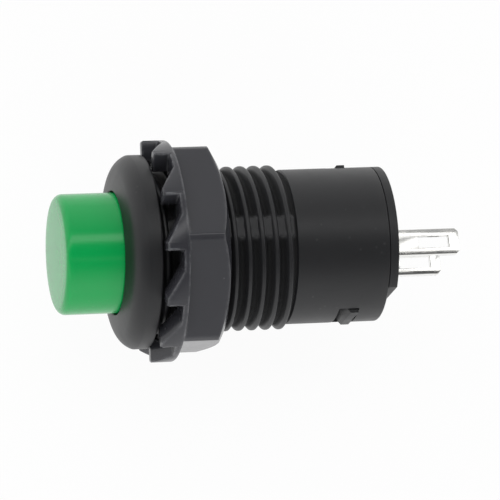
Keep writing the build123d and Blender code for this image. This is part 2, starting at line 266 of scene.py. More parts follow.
class Tree:
    """Short ways to add nodes to a node tree and link them."""

    def __init__(self, tree):
        self.tree = tree

    def node(self, kind, **settings):
        """New node with these settings."""
        made = self.tree.nodes.new(kind)
        for name, value in settings.items():
            setattr(made, name, value)
        return made

    def put(self, socket, value):
        """Links a socket to a socket, or sets a plain value."""
        if isinstance(value, bpy.types.NodeSocket):
            self.tree.links.new(value, socket)
        elif value is not None:
            socket.default_value = value

    def math(self, operation, first, second=None, third=None):
        """Sum, product or other function of up to three numbers."""
        made = self.node("ShaderNodeMath", operation=operation)
        for socket, value in zip(made.inputs, (first, second, third)):
            self.put(socket, value)
        return made.outputs[0]

    def span(self, value, low, high, to_low=0.0, to_high=1.0, smooth=False):
        """Value mapped from one range to another, held at the ends."""
        made = self.node("ShaderNodeMapRange")
        made.interpolation_type = "SMOOTHSTEP" if smooth else "LINEAR"
        for socket, number in zip(made.inputs, (value, low, high, to_low, to_high)):
            self.put(socket, number)
        return made.outputs[0]

    def split(self, vector):
        """X, Y and Z of a vector."""
        made = self.node("ShaderNodeSeparateXYZ")
        self.put(made.inputs[0], vector)
        return made.outputs

    def joined(self, x=None, y=None, z=None):
        """Vector of X, Y and Z."""
        made = self.node("ShaderNodeCombineXYZ")
        for socket, value in zip(made.inputs, (x, y, z)):
            self.put(socket, value)
        return made.outputs[0]

    def place(self):
        """Place on the piece, in the piece's own axes."""
        return self.node("ShaderNodeTexCoord").outputs["Object"]

    def noise(self, vector, scale, detail=2.0, roughness=0.5):
        """Noise from 0 to 1 at so many waves to a metre."""
        made = self.node("ShaderNodeTexNoise")
        self.put(made.inputs["Vector"], vector)
        self.put(made.inputs["Scale"], scale)
        self.put(made.inputs["Detail"], detail)
        self.put(made.inputs["Roughness"], roughness)
        return made.outputs["Fac"]

    def mix_colour(self, factor, first, second):
        """Blend of two colours."""
        made = self.node("ShaderNodeMix", data_type="RGBA")
        self.put(made.inputs["Factor"], factor)
        self.put(made.inputs[6], first)
        self.put(made.inputs[7], second)
        return made.outputs[2]

    def bump(self, height, depth):
        """Normal that a height gives the surface."""
        made = self.node("ShaderNodeBump")
        self.put(made.inputs["Height"], height)
        made.inputs["Strength"].default_value = 1.0
        made.inputs["Distance"].default_value = depth
        return made.outputs[0]


SOCKET_KINDS = {float: "NodeSocketFloat", int: "NodeSocketInt"}


def new_group(name, kind, inputs, outputs):
    """Node group with named sockets: its helper, what its inputs give and what it puts out.

    Each input has its default, or its socket type where it has no default.
    """
    tree = bpy.data.node_groups.new(name, kind)
    for label, default in inputs.items():
        bare = isinstance(default, str)
        socket_kind = default if bare else SOCKET_KINDS[type(default)]
        socket = tree.interface.new_socket(name=label, in_out="INPUT", socket_type=socket_kind)
        if not bare:
            socket.default_value = default
    for label, socket_kind in outputs.items():
        tree.interface.new_socket(name=label, in_out="OUTPUT", socket_type=socket_kind)
    kit = Tree(tree)
    return kit, kit.node("NodeGroupInput").outputs, kit.node("NodeGroupOutput").inputs


def surface_group(name, values, masks):
    """Shader node group that turns values into masks or heights over the surface."""
    outputs = {label: "NodeSocketFloat" for label in masks}
    return new_group(name, "ShaderNodeTree", values, outputs)


def shape_group(name, sizes):
    """Geometry node group that makes a shape of these sizes in a given material."""
    inputs = {"Geometry": "NodeSocketGeometry", **sizes, "Material": "NodeSocketMaterial"}
    return new_group(name, "GeometryNodeTree", inputs, {"Geometry": "NodeSocketGeometry"})


def bake_nodes(name, tree, values, material, start=None):
    """Runs a geometry tree with its inputs set, and returns the plain result as a piece."""
    source = linked(name + "_source", start or bpy.data.meshes.new(name + "_start"))
    modifier = source.modifiers.new("shape", "NODES")
    modifier.node_group = tree
    values = {**values, "Material": material}
    for item in tree.interface.items_tree:
        if item.item_type == "SOCKET" and item.in_out == "INPUT" and item.name in values:
            modifier[item.identifier] = values[item.name]
    mesh = result_of(source)
    mesh.name = name
    bpy.data.objects.remove(source)
    tidy_mesh(mesh, 2 * WELD)
    if not mesh.materials:
        mesh.materials.append(material)
    return linked(name, mesh)


# ---------------------------------------------------------------- shared surface effects


def grain_group():
    """Fine moulded grain: its height, and the small change that it makes in roughness."""
    kit, given, out = surface_group(
        "moulded_grain", {"Grain Size": 0.00012, "Depth": 1.0}, ("Height", "Unevenness")
    )
    place = kit.place()
    fine = kit.noise(place, kit.math("DIVIDE", 1.0, given["Grain Size"]), 2.0, 0.6)
    flow = kit.noise(place, 700.0, 3.0, 0.55)
    height = kit.math("ADD", kit.math("MULTIPLY", fine, 0.5), kit.math("MULTIPLY", flow, 0.5))
    kit.put(out["Height"], kit.math("MULTIPLY", height, given["Depth"]))
    kit.put(out["Unevenness"], kit.span(flow, 0.3, 0.7, -1.0, 1.0))
    return kit.tree


def edge_group():
    """Mask of the outer edges, broken up as rubbing breaks them; on the nut it also carries a
    painted highlight.
    """
    kit, given, out = surface_group("rubbed_and_highlit_edges", {"Width": 0.00015, "Strength": 1.0}, ["Mask"])
    bevel = kit.node("ShaderNodeBevel", samples=4)
    kit.put(bevel.inputs["Radius"], given["Width"])
    likeness = kit.node("ShaderNodeVectorMath", operation="DOT_PRODUCT")
    kit.put(likeness.inputs[0], bevel.outputs[0])
    kit.put(likeness.inputs[1], kit.node("ShaderNodeNewGeometry").outputs["Normal"])
    edge = kit.span(likeness.outputs["Value"], 0.995, 0.86)
    patches = kit.span(kit.noise(kit.place(), 1500.0, 4.0, 0.6), 0.38, 0.62, 0.15, 1.0)
    edge_mask = kit.math("MULTIPLY", edge, patches)
    kit.put(out["Mask"], kit.math("MULTIPLY", edge_mask, given["Strength"]))
    return kit.tree


def handling_group():
    """Dust specks and faint scuffs from handling."""
    kit, given, out = surface_group(
        "dust_and_scuffs", {"Dust": 0.5, "Scuffs": 0.5}, ("Dust Mask", "Scuff Mask")
    )
    place = kit.place()
    specks = kit.node("ShaderNodeTexVoronoi", feature="F1")
    kit.put(specks.inputs["Vector"], place)
    kit.put(specks.inputs["Scale"], 1300.0)
    speck = kit.span(specks.outputs["Distance"], 0.16, 0.05)
    where = kit.span(kit.noise(place, 260.0), 0.52, 0.68)
    dust = kit.math("MULTIPLY", kit.math("MULTIPLY", speck, where), given["Dust"])
    kit.put(out["Dust Mask"], dust)
    stretch = kit.node("ShaderNodeMapping")
    kit.put(stretch.inputs["Vector"], place)
    stretch.inputs["Rotation"].default_value = (0.5, 0.9, 0.35)
    stretch.inputs["Scale"].default_value = (1.0, 0.07, 1.0)
    streaks = kit.span(kit.noise(stretch.outputs[0], 2600.0), 0.63, 0.72)
    patch = kit.span(kit.noise(place, 330.0, 1.0), 0.5, 0.62)
    scuff = kit.math("MULTIPLY", kit.math("MULTIPLY", streaks, patch), given["Scuffs"])
    kit.put(out["Scuff Mask"], scuff)
    return kit.tree


def groove_shade_group():
    """Mask of the thread's grooves, strongest at the root, for painted shade there."""
    radii = {"Crest Radius": CREST_RADIUS, "Root Radius": 0.0}
    kit, given, out = surface_group("thread_groove_shade", radii, ["Mask"])
    spot = kit.split(kit.place())
    radius = kit.node("ShaderNodeVectorMath", operation="LENGTH")
    kit.put(radius.inputs[0], kit.joined(x=spot["X"], z=spot["Z"]))
    depth = radius.outputs["Value"]
    kit.put(out["Mask"], kit.span(depth, given["Crest Radius"], given["Root Radius"], smooth=True))
    return kit.tree


def rolled_group():
    """Fine lines that rolling or drawing leaves along the axis of a metal strip."""
    kit, given, out = surface_group("rolled_lines", {"Line Width": 0.00005}, ("Height", "Tarnish"))
    place = kit.place()
    stretch = kit.node("ShaderNodeMapping")
    kit.put(stretch.inputs["Vector"], place)
    stretch.inputs["Scale"].default_value = (1.0, 0.04, 1.0)
    scale = kit.math("DIVIDE", 1.0, given["Line Width"])
    kit.put(out["Height"], kit.noise(stretch.outputs[0], scale))
    kit.put(out["Tarnish"], kit.span(kit.noise(place, 520.0, 4.0, 0.6), 0.4, 0.7))
    return kit.tree


GRAIN = grain_group()
EDGES = edge_group()
HANDLING = handling_group()
GROOVE_SHADE = groove_shade_group()
ROLLED = rolled_group()


def use_group(kit, tree, **values):
    """Places a shared group in a material with its own values, and returns what it puts out."""
    made = kit.node("ShaderNodeGroup")
    made.node_tree = tree
    for name, value in values.items():
        made.inputs[name.replace("_", " ")].default_value = value
    return made.outputs


def blank_material(name):
    """Material, the helper for its nodes, and the inputs of its Principled shader."""
    material = bpy.data.materials.new(name)
    material.use_nodes = True
    kit = Tree(material.node_tree)
    return material, kit, material.node_tree.nodes["Principled BSDF"].inputs


def shaded(colour, share):
    """Colour at a share of its brightness, white at most."""
    return tuple(min(1.0, share * channel) for channel in colour[:3]) + (1,)


def moulded(
    name, colours, rough, grain, depth, dust, specular=0.5, edge=(0.35, 0.00016), groove=None
):
    """Moulded plastic: grain, flow marks, lighter edges, dust specks, scuffs and painted shade in
    grooves.

    colours are the plain one and the edge one (rubbed wear, on the nut a painted highlight), edge
    the strength and width of these edges, and groove the radii of the painted shade in a thread.
    """
    colour, edge_wear_and_highlight = colours
    material, kit, shader = blank_material(name)
    skin = use_group(kit, GRAIN, Grain_Size=grain, Depth=1.0)
    edge_mask = use_group(kit, EDGES, Strength=edge[0], Width=edge[1])
    marks = use_group(kit, HANDLING, Dust=dust, Scuffs=0.6)
    cloud = kit.span(kit.noise(kit.place(), 180.0), 0.3, 0.7)
    tone = kit.mix_colour(cloud, shaded(colour, 0.93), colour)
    # lighter edges: rubbed wear, and with the nut's strong edge mask a painted highlight
    tone = kit.mix_colour(edge_mask["Mask"], tone, edge_wear_and_highlight)
    dusty = tuple(0.8 * channel + 0.07 for channel in colour[:3]) + (1,)
    tone = kit.mix_colour(marks["Dust Mask"], tone, dusty)
    roughness = kit.math("ADD", kit.math("MULTIPLY", skin["Unevenness"], 0.05 * rough), rough)
    # painted shade in the thread's grooves: darker towards the root, and rougher there
    if groove:
        groove_shade = use_group(kit, GROOVE_SHADE, Crest_Radius=groove[0], Root_Radius=groove[1])["Mask"]
        tone = kit.mix_colour(groove_shade, tone, shaded(colour, 0.35))
        roughness = kit.math("MULTIPLY_ADD", groove_shade, 0.45, roughness)
    roughness = kit.math("MULTIPLY_ADD", marks["Scuff Mask"], 0.10, roughness)
    roughness = kit.math("MULTIPLY_ADD", marks["Dust Mask"], 0.35, roughness)
    kit.put(shader["Base Color"], tone)
    kit.put(shader["Roughness"], roughness)
    kit.put(shader["Normal"], kit.bump(skin["Height"], depth))
    kit.put(shader["IOR"], 1.5)
    kit.put(shader["Specular IOR Level"], specular)
    return material


def metal(name, colour, tarnished, rough, line_width, depth):
    """Plated or drawn metal: rolled lines, light tarnish and worn edges."""
    material, kit, shader = blank_material(name)
    lines = use_group(kit, ROLLED, Line_Width=line_width)
    edge_mask = use_group(kit, EDGES, Width=0.00012, Strength=0.5)
    tone = kit.mix_colour(kit.math("MULTIPLY", lines["Tarnish"], 0.6), colour, tarnished)
    tone = kit.mix_colour(edge_mask["Mask"], tone, shaded(colour, 1.08))
    kit.put(shader["Base Color"], tone)
    kit.put(shader["Metallic"], 1.0)
    kit.put(shader["Roughness"], kit.math("MULTIPLY_ADD", lines["Tarnish"], 0.16, rough))
    kit.put(shader["Normal"], kit.bump(lines["Height"], depth))
    return material


# Colours, plain and at the edges: rubbed wear, and on the nut a painted highlight
HOUSING_COLOURS = (0.0115, 0.0118, 0.0132, 1), (0.04, 0.041, 0.044, 1)
BASE_COLOURS = (0.012, 0.0124, 0.0136, 1), (0.04, 0.04, 0.043, 1)
# the nut's edge colour, far lighter than its plain one, is mostly a painted highlight along
# corners, finger tips and flange rim
NUT_COLOURS_AND_HIGHLIGHT = (0.034, 0.0345, 0.0405, 1), (0.2, 0.203, 0.215, 1)
CAP_COLOURS = (0.0015, 0.36, 0.078, 1), (0.02, 0.43, 0.13, 1)
NYLON_COLOURS = (0.62, 0.60, 0.55, 1), (0.72, 0.71, 0.67, 1)
# radii between which the thread's grooves get painted shade
SHADED_GROOVE = (CREST_RADIUS - 0.14 * MM, ROOT_RADIUS + 0.02 * MM)

BLACK = moulded("black_moulding", HOUSING_COLOURS, 0.44, 0.00009, 3e-6, 0.4)
# thread moulding with painted shade in its grooves
BLACK_THREAD = moulded(
    "black_thread_moulding", HOUSING_COLOURS, 0.42, 0.00009, 3e-6, 0.4, groove=SHADED_GROOVE
)
BLACK_BASE = moulded("black_base_moulding", BASE_COLOURS, 0.48, 0.0001, 4e-6, 0.4)
# strong, wide edge mask: painted highlight along the nut's edges, over some rubbed wear
BLACK_NUT = moulded(
    "black_nut_moulding", NUT_COLOURS_AND_HIGHLIGHT, 0.23, 0.00012, 2e-6, 0.3, edge=(0.9, 0.0003)
)
GREEN = moulded(
    "green_cap_moulding",
    CAP_COLOURS,
    0.20,
    0.0002,
    1e-6,
    0.2,
    specular=0.45,
    edge=(0.25, 0.00016),
)
NYLON = moulded("white_nylon", NYLON_COLOURS, 0.45, 0.00015, 5e-6, 0.2)
STEEL = metal("drawn_spring_wire", (0.60, 0.60, 0.61, 1), (0.42, 0.41, 0.40, 1), 0.24, 3e-5, 1e-6)
BRASS = metal("brass_strip", (0.78, 0.60, 0.30, 1), (0.50, 0.34, 0.16, 1), 0.26, 4e-5, 1.5e-6)
TIN = metal("bright_tin_plate", (0.93, 0.93, 0.91, 1), (0.80, 0.78, 0.74, 1), 0.16, 5e-5, 1e-6)
SILVER = metal("satin_silver", (0.86, 0.85, 0.82, 1), (0.62, 0.58, 0.5, 1), 0.3, 5e-5, 1e-6)


# ---------------------------------------------------------------- geometry trees


def finish_shape(kit, shape, material, out):
    """Realize Instances and Set Material, which end every geometry tree."""
    real = kit.node("GeometryNodeRealizeInstances")
    kit.put(real.inputs[0], shape)
    painted = kit.node("GeometryNodeSetMaterial")
    kit.put(painted.inputs["Geometry"], real.outputs[0])
    kit.put(painted.inputs["Material"], material)
    kit.put(out[0], painted.outputs[0])


def welded(kit, shape, distance):
    """Shape with its doubles merged."""
    made = kit.node("GeometryNodeMergeByDistance")
    kit.put(made.inputs["Geometry"], shape)
    kit.put(made.inputs["Distance"], distance)
    return made.outputs[0]


def moved_round(kit, shape, radius, angle, y):
    """Points of a shape moved to a radius, an angle round the axis and a place along it."""
    x = kit.math("MULTIPLY", radius, kit.math("SINE", angle))
    z = kit.math("MULTIPLY", radius, kit.math("COSINE", angle))
    made = kit.node("GeometryNodeSetPosition")
    kit.put(made.inputs["Geometry"], shape)
    kit.put(made.inputs["Position"], kit.joined(x, y, z))
    return made.outputs[0]


def thread_tree():
    """Helical thread as a closed sleeve round the axis, facing outward or inward.

    A negative strip width leaves the strips out.
    """
    sizes = {
        "Start": 0.0,
        "End": THREAD_END,
        "Pitch": PITCH,
        "First Crest": FIRST_CREST,
        "Crest Radius": CREST_RADIUS,
        "Root Radius": ROOT_RADIUS,
        "Back Radius": CORE_RADIUS,
        "Runout": THREAD_RUNOUT,
        "Strip Half Width": STRIP_WIDTH / 2,
        "Strip Height": STRIP_HEIGHT,
        "Columns": 256,
        "Rows": 220,
    }
    kit, given, out = shape_group("helical_thread", sizes)

    # the sheet has two rows more than the thread, which close it at the back
    sheet = kit.node("GeometryNodeMeshGrid")
    kit.put(sheet.inputs["Size X"], 1.0)
    kit.put(sheet.inputs["Size Y"], 1.0)
    kit.put(sheet.inputs["Vertices X"], kit.math("ADD", given["Columns"], 1.0))
    kit.put(sheet.inputs["Vertices Y"], kit.math("ADD", given["Rows"], 3.0))
    spot = kit.split(kit.node("GeometryNodeInputPosition").outputs[0])
    turns = kit.math("ADD", spot["X"], 0.5)
    angle = kit.math("MULTIPLY", turns, 2 * math.pi)
    last = kit.math("ADD", given["Rows"], 2.0)
    row = kit.math("ROUND", kit.math("MULTIPLY", kit.math("ADD", spot["Y"], 0.5), last))
    share = kit.math("DIVIDE", kit.math("SUBTRACT", row, 1.0), given["Rows"])
    length = kit.math("SUBTRACT", given["End"], given["Start"])
    y = kit.math("ADD", given["Start"], kit.math("MULTIPLY", share, length))

    # rounded vee, high at the crest and low at the root
    from_crest = kit.math("SUBTRACT", y, given["First Crest"])
    pitches = kit.math("DIVIDE", from_crest, given["Pitch"])
    phase = kit.math("FRACT", kit.math("SUBTRACT", pitches, turns))
    wave = kit.math("ABSOLUTE", kit.math("MULTIPLY_ADD", phase, 2.0, -1.0))
    vee = kit.span(wave, 0.10, 0.88, smooth=True)
    rise = kit.span(kit.math("SUBTRACT", y, given["Start"]), 0.0, given["Runout"], smooth=True)
    fall = kit.span(kit.math("SUBTRACT", given["End"], y), 0.0, given["Runout"], smooth=True)
    vee = kit.math("MULTIPLY", vee, kit.math("MULTIPLY", rise, fall))
    depth = kit.math("SUBTRACT", given["Crest Radius"], given["Root Radius"])
    radius = kit.math("MULTIPLY_ADD", vee, depth, given["Root Radius"])

    # the two strips, above and below, that fill most of the grooves
    across = kit.math("MULTIPLY", kit.math("SINE", angle), given["Crest Radius"])
    inside = kit.math("SUBTRACT", given["Strip Half Width"], STRIP_EDGE)
    strip = kit.span(kit.math("ABSOLUTE", across), given["Strip Half Width"], inside, smooth=True)
    upright = kit.math("ABSOLUTE", kit.math("COSINE", angle))
    flat = kit.math("DIVIDE", given["Strip Height"], upright)
    lift = kit.math("MAXIMUM", kit.math("SUBTRACT", flat, radius), 0.0)
    radius = kit.math("MULTIPLY_ADD", kit.math("MULTIPLY", strip, fall), lift, radius)

    # the first and last rows meet behind the thread and close the sleeve
    is_first = kit.math("LESS_THAN", row, 0.5)
    is_last = kit.math("GREATER_THAN", row, kit.math("SUBTRACT", last, 0.5))
    is_back = kit.math("ADD", is_first, is_last)
    middle = kit.math("MULTIPLY", kit.math("ADD", given["Start"], given["End"]), 0.5)
    y = kit.math("ADD", y, kit.math("MULTIPLY", is_back, kit.math("SUBTRACT", middle, y)))
    inward = kit.math("MULTIPLY", is_back, kit.math("SUBTRACT", given["Back Radius"], radius))
    radius = kit.math("ADD", radius, inward)
    sleeve = moved_round(kit, sheet.outputs["Mesh"], radius, angle, y)
    finish_shape(kit, welded(kit, sleeve, 1e-6), given["Material"], out)
    return kit.tree


def repeat_tree():
    """Copies one sector round the axis and joins the copies into a closed ring."""
    kit, given, out = shape_group("repeat_round_axis", {"Count": 6, "Weld": 1e-6})
    single = kit.node("GeometryNodeGeometryToInstance")
    kit.put(single.inputs[0], given["Geometry"])
    copies = kit.node("GeometryNodeDuplicateElements", domain="INSTANCE")
    kit.put(copies.inputs["Geometry"], single.outputs[0])
    kit.put(copies.inputs["Amount"], given["Count"])
    step = kit.math("DIVIDE", 2 * math.pi, given["Count"])
    angle = kit.math("MULTIPLY", copies.outputs["Duplicate Index"], step)
    turned = kit.node("GeometryNodeRotateInstances")
    kit.put(turned.inputs["Instances"], copies.outputs["Geometry"])
    kit.put(turned.inputs["Rotation"], kit.joined(y=angle))
    turned.inputs["Local Space"].default_value = False
    real = kit.node("GeometryNodeRealizeInstances")
    kit.put(real.inputs[0], turned.outputs[0])
    finish_shape(kit, welded(kit, real.outputs[0], given["Weld"]), given["Material"], out)
    return kit.tree


def coil_tree():
    """Coil spring of round wire, with a closed turn at each end."""
    sizes = {
        "Start": 0.0,
        "End": 0.01,
        "Coil Radius": 0.001,
        "Wire Radius": 0.00015,
        "Turns": 8.0,
        "Points": 500,
    }
    kit, given, out = shape_group("coil_spring", sizes)
    sampled = kit.node("GeometryNodeResampleCurve")
    kit.put(sampled.inputs["Curve"], kit.node("GeometryNodeCurvePrimitiveLine").outputs[0])
    kit.put(sampled.inputs["Count"], given["Points"])
    share = kit.node("GeometryNodeSplineParameter").outputs["Factor"]
    angle = kit.math("MULTIPLY", kit.math("MULTIPLY", share, given["Turns"]), 2 * math.pi)
    low = kit.math("ADD", given["Start"], given["Wire Radius"])
    high = kit.math("SUBTRACT", given["End"], given["Wire Radius"])

    # the pitch is short on the end turns and even between them
    end_share = kit.math("MULTIPLY", kit.math("DIVIDE", 1.0, given["Turns"]), 0.6)
    climb = kit.span(share, end_share, kit.math("SUBTRACT", 1.0, end_share))
    wire = kit.math("MULTIPLY", given["Wire Radius"], 1.2)
    lead = kit.math("SUBTRACT", share, climb)
    rise = kit.math("MULTIPLY", lead, kit.math("MULTIPLY", wire, given["Turns"]))
    y = kit.math("ADD", low, kit.math("MULTIPLY", climb, kit.math("SUBTRACT", high, low)))
    y = kit.math("ADD", y, rise)
    y = kit.math("MINIMUM", kit.math("MAXIMUM", y, low), high)
    line = moved_round(kit, sampled.outputs[0], given["Coil Radius"], angle, y)

    section = kit.node("GeometryNodeCurvePrimitiveCircle")
    kit.put(section.inputs["Resolution"], 14)
    kit.put(section.inputs["Radius"], given["Wire Radius"])
    tube = kit.node("GeometryNodeCurveToMesh")
    kit.put(tube.inputs["Curve"], line)
    kit.put(tube.inputs["Profile Curve"], section.outputs[0])
    tube.inputs["Fill Caps"].default_value = True
    finish_shape(kit, tube.outputs[0], given["Material"], out)
    return kit.tree


# ---------------------------------------------------------------- switch body


def housing_turns():
    """Turns of the housing's columns, with one on each side of every window and of the notch."""
    window = math.asin(WINDOW_WIDTH / 2 / BARREL_RADIUS)
    notch = math.asin(NOTCH_WIDTH / 2 / BARREL_RADIUS)
    marks = [math.pi / 2 - window, math.pi / 2 + window, 1.5 * math.pi - window]
    marks += [1.5 * math.pi - notch, 1.5 * math.pi + notch, 1.5 * math.pi + window]
    even = np.linspace(0, 2 * math.pi, HOUSING_COLUMNS + 1)[:-1]
    spare = [turn for turn in even if min(abs(turn - mark) for mark in marks) > COLUMN_GAP]
    return np.array(sorted(spare + marks)), window, notch


def make_housing():
    """Bezel, the core under the thread, and the smooth barrel with its windows and notch."""
    turns, window, notch = housing_turns()
    bevel_start = (BEVEL_PLACE, BEZEL_RADIUS - BEVEL_WIDTH)
    bevel = bulge(bevel_start, (-BEZEL_RIM, BEZEL_RADIUS), BEVEL_RADIUS)
    outline = [
        (GUIDE_END, GUIDE_RADIUS, 0),
        (BEZEL_FRONT, GUIDE_RADIUS, MOUTH_ROUND),
        *bevel[:-1],
        (-BEZEL_RIM, BEZEL_RADIUS, RIM_ROUND),
        (0, BEZEL_RADIUS, END_ROUND),
        (0, CORE_RADIUS, 0),
        (THREAD_END - 0.1 * MM, CORE_RADIUS, 0),
        (THREAD_END - 0.1 * MM, ROOT_RADIUS, 0),
        (THREAD_END, BARREL_RADIUS, 0.03 * MM),
        (WINDOW_FRONT, BARREL_RADIUS, 0),
        (WINDOW_REAR, BARREL_RADIUS, 0),
        (NOTCH_FRONT, BARREL_RADIUS, 0),
        (BARREL_END, BARREL_RADIUS, END_ROUND),
        (BARREL_END, BORE_RADIUS, 0.06 * MM),
        (NOTCH_FRONT, BORE_RADIUS, 0),
        (WINDOW_REAR, BORE_RADIUS, 0),
        (WINDOW_FRONT, BORE_RADIUS, 0),
        (GUIDE_END, BORE_RADIUS, 0),
    ]
    section = rounded(outline)
    rows, columns = len(section), len(turns)
    points = np.concatenate([ring(turns, y, radius) for y, radius in section])

    def row_at(y, radius):
        return int(np.argmin(np.hypot(section[:, 0] - y, section[:, 1] - radius)))

    def column_at(turn):
        return int(np.argmin(abs(turns - turn)))

    openings = []
    for centre in (math.pi / 2, 1.5 * math.pi):
        across = (column_at(centre - window), column_at(centre + window))
        outer = (row_at(WINDOW_FRONT, BARREL_RADIUS), row_at(WINDOW_REAR, BARREL_RADIUS))
        inner = (row_at(WINDOW_REAR, BORE_RADIUS), row_at(WINDOW_FRONT, BORE_RADIUS))
        openings.append((across, outer, inner))
    across = (column_at(1.5 * math.pi - notch), column_at(1.5 * math.pi + notch))
    rear = (row_at(NOTCH_FRONT, BARREL_RADIUS), row_at(NOTCH_FRONT, BORE_RADIUS))
    openings.append((across, rear, None))

    skip, walls = set(), []
    for (first, last), outer, inner in openings:
        for span in (outer, inner):
            if span:
                skip |= {(row, column) for row in range(*span) for column in range(first, last)}
        if inner:
            pairs = ((outer[0], inner[1]), (outer[1], inner[0]))
            sides = [[outer[0], outer[1], inner[0], inner[1]]] * 2
        else:
            pairs = ((outer[0], outer[1]),)
            sides = [list(range(outer[0], outer[1] + 1))] * 2
        for top, bottom in pairs:
            walls += [quad(columns, top, bottom, spot, spot + 1) for spot in range(first, last)]
        for column, side in zip((first, last), sides):
            walls.append(tuple(row * columns + column for row in side))
    faces = grid_faces(rows, columns, True, True, skip) + walls
    piece = finished("housing_shell", points, faces, BLACK)
    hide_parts("housing")
    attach(piece, "switch_body")


def make_housing_thread(tree):
    """Thread behind the bezel, broken by its two smooth strips."""
    values = {"Start": -0.01 * MM, "End": THREAD_END - 0.02 * MM}
    piece = bake_nodes("housing_thread", tree, values, BLACK_THREAD)
    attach(piece, "switch_body")


def bevelled_copy(name, node, material, width, segments=2):
    """Copy of a CAD node with flat faces joined up and its edges rounded."""
    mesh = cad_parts[node].data.copy()
    mesh.materials.clear()
    made = bmesh.new()
    made.from_mesh(mesh)
    bmesh.ops.remove_doubles(made, verts=made.verts, dist=2e-6)
    bmesh.ops.dissolve_limit(
        made, angle_limit=math.radians(1.0), verts=made.verts, edges=made.edges
    )
    made.to_mesh(mesh)
    made.free()
    piece = linked(name, mesh)
    modifier = piece.modifiers.new("edge_rounding", "BEVEL")
    modifier.width = width
    modifier.segments = segments
    modifier.limit_method = "ANGLE"
    modifier.angle_limit = math.radians(40)
    piece.data = result_of(piece)
    piece.data.name = name
    piece.data.shade_smooth()
    piece.data.set_sharp_from_angle(angle=SHARP)
    piece.data.materials.append(material)
    return piece


def make_base():
    """Base with its flange, snap hooks and blade slots."""
    piece = bevelled_copy("base_moulding", "base", BLACK_BASE, 0.06 * MM)
    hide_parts("base")
    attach(piece, "switch_body")


def make_terminals():
    """The two slotted blades."""
    for place in ("upper", "lower"):
        piece = bevelled_copy(f"blade_{place}", f"terminal_{place}", TIN, 0.05 * MM, 3)
        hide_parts(f"terminal_{place}")
        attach(piece, "switch_body")


# ---------------------------------------------------------------- button


def make_cap():
    """Hollow cap with a rounded rim and a faintly crowned face."""
    front = cap_low.y
    outline = [
        (front, CAP_CENTRE, 0),
        (front + 0.02 * MM, 0.72 * CAP_RADIUS, 0),
        (front + 0.05 * MM, CAP_RADIUS, CAP_FRONT_ROUND),
        (CAP_FLANGE_FRONT, CAP_RADIUS, 0),
        (CAP_FLANGE_FRONT, CAP_FLANGE_RADIUS, CAP_EDGE_ROUND),
        (cap_high.y, CAP_FLANGE_RADIUS, CAP_EDGE_ROUND),
        (cap_high.y, CAP_BORE, CAP_EDGE_ROUND),
        (CAP_INSIDE, CAP_BORE, 0.2 * MM),
        (CAP_INSIDE, CAP_CENTRE, 0),
    ]
    section = rounded(outline, 6)
    columns = 192
    turns = np.linspace(0, 2 * math.pi, columns + 1)[:-1]
    points = np.concatenate([ring(turns, y, radius) for y, radius in section])
    faces = grid_faces(len(section), columns, True, False)
    faces.append(tuple(range(columns)))
    faces.append(tuple((len(section) - 1) * columns + index for index in range(columns)))
    piece = finished("cap_moulding", points, faces, GREEN)
    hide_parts("cap")
    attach(piece, "button")


def make_springs(tree):
    """Return spring in the plunger's pocket, and the contact spring round its stem."""
    values = {
        "Start": return_low.y + SPRING_CLEARANCE,
        "End": return_high.y - SPRING_CLEARANCE,
        "Coil Radius": RETURN_COIL_RADIUS,
        "Turns": 10.0,
        "Points": 560,
    }
    piece = bake_nodes("return_coil", tree, values, STEEL)
    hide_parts("return_spring")
    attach(piece, "switch_body")
    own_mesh(piece)
    values = {
        "Start": contact_low.y + SPRING_CLEARANCE,
        "End": contact_high.y - SPRING_CLEARANCE,
        "Coil Radius": CONTACT_COIL_RADIUS,
        "Turns": 6.0,
        "Points": 480,
    }
    piece = bake_nodes("contact_coil", tree, values, STEEL)
    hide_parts("contact_spring")
    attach(piece, "button")


# ---------------------------------------------------------------- nut


def hex_radius(turn, corner_turn):
    """Radius of the rounded hexagon at these turns."""
    part = math.pi / 3
    away = (turn - corner_turn + part / 2) % part - part / 2
    apothem = HEX_FLATS - HEX_CORNER_ROUND
    corner = apothem / math.cos(part / 2)
    # arc about the corner's centre
    across = corner * np.sin(away)
    inside = HEX_CORNER_ROUND**2 - across**2
    arc = corner * np.cos(away) + np.sqrt(np.maximum(inside, 0))
    flat = HEX_FLATS / np.cos(part / 2 - abs(away))
    touch = math.atan2(HEX_CORNER_ROUND * 0.5, corner + HEX_CORNER_ROUND * math.cos(part / 2))
    radius = np.where(abs(away) < touch, arc, flat)
    return np.minimum(radius, HEX_TURNED)


def finger_line():
    """(x, height, inward x, inward height) along one finger: ramp, tip, and the steep end."""
    top, foot = -FINGER_TIP, -FINGER_TIP - FINGER_RAMP
    root_start = -2 * CROWN_RADIUS * math.sin(FINGER_STEP / 2) * 0.995
    corners = [
        (root_start, 0.0, 0),
        (foot, 0.0, 0.25 * MM),
        (top, FINGER_HEIGHT, 0.14 * MM),
        (0.0, FINGER_HEIGHT, 0.10 * MM),
        (0.0, 0.0, 0),
    ]
    line = rounded(corners, 5)
    dense = [line[0]]
    for start, end in zip(line, line[1:]):
        gap = np.linalg.norm(end - start)
        count = max(1, int(math.ceil(gap / (0.12 * MM))))
        dense += [start + (end - start) * step / count for step in range(1, count + 1)]
    line = np.array(dense)
    ahead = np.gradient(line, axis=0)
    ahead /= np.linalg.norm(ahead, axis=1)[:, None]
    inward = np.column_stack([ahead[:, 1], -ahead[:, 0]])
    inward[0] = (0, -1)
    inward[-1] = (-0.7, -0.7)
    return line, inward


